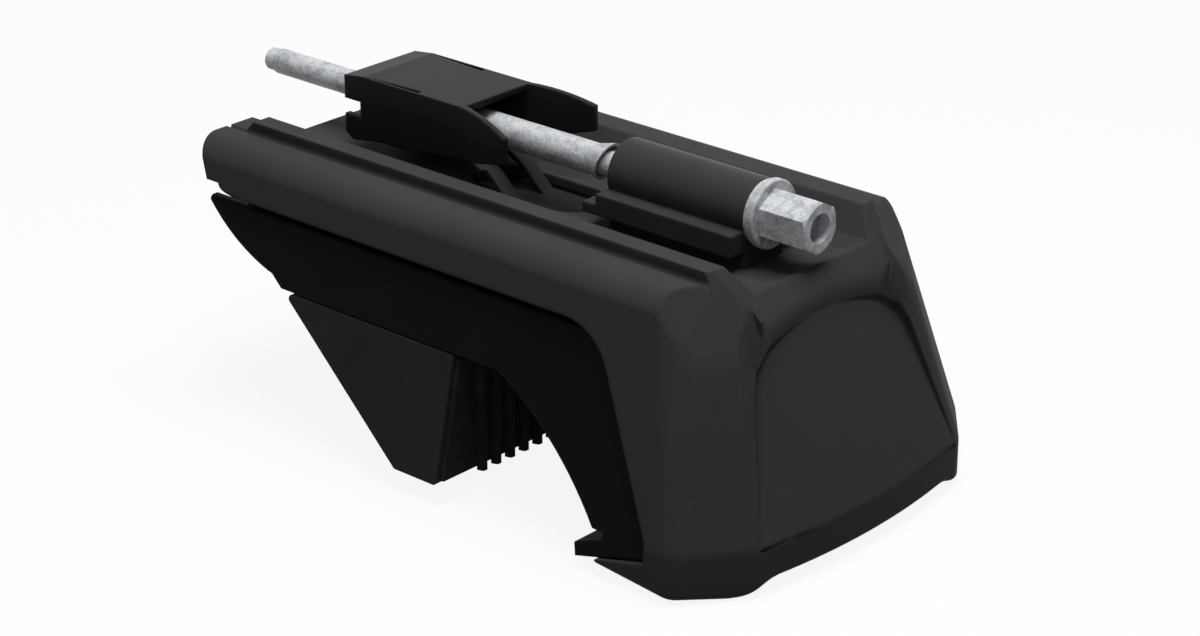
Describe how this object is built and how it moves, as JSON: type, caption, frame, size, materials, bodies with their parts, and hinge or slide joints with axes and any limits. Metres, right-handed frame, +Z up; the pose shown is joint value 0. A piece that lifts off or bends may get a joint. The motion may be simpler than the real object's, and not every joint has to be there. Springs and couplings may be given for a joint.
{
  "type": "roof bar foot",
  "caption": "Clamping foot for a vehicle roof crossbar: a long bolt draws a ribbed jaw towards a fixed hook to grip a raised roof rail.",
  "frame": {"origin": "middle of the seat under the foot, where it rests on the top of the roof rail", "axes": "+X along the crossbar towards the outer end of the foot, +Y along the roof rail, +Z up"},
  "size_m": [0.2423, 0.1318, 0.1004],
  "materials": {
    "casing": "fine grained satin moulding, dark charcoal",
    "core_plastic": "smooth near-black moulding",
    "jaw_plastic": "smooth dark grey moulding",
    "rubber": "matt black rubber",
    "slide_plastic": "natural low-friction plastic",
    "zinc": "galvanised, mottled",
    "steel": "bright zinc-plated",
    "block_steel": "black satin coating",
    "black_steel": "black semi-gloss powder coat"
  },
  "bodies": {
    "foot": {"housing": "casing", "core": "core_plastic", "saddle_pad": "rubber", "hook_pad": "rubber", "slide_strips": "slide_plastic", "guide_block": "block_steel", "rod_bush": "slide_plastic", "thrust_washer": "zinc", "block_screws": "steel", "core_screws": "steel"},
    "jaw": {"inner_jaw": "jaw_plastic", "jaw_pad": "rubber", "carrier_bracket": "black_steel", "nut_block": "block_steel", "clamp_nut": "zinc", "jaw_pin": "steel"},
    "bolt": {"clamp_bolt": "zinc", "spacer_sleeve": "zinc", "sleeve_pin": "steel", "retaining_ring": "steel"}
  },
  "joints": [
    {"name": "jaw_slide", "type": "slide", "parent": "foot", "child": "jaw", "axis": [1, 0, 0], "range_m": [-0.008, 0.012]},
    {"name": "bolt_turn", "type": "hinge", "parent": "foot", "child": "bolt", "pos_m": [0, 0, 0.045], "axis": [1, 0, 0], "range_deg": [-3457, 2305]}
  ],
  "couplings": [
    {"joint": "bolt_turn", "follows": "jaw_slide", "rad_per_m": -5026.5}
  ]
}
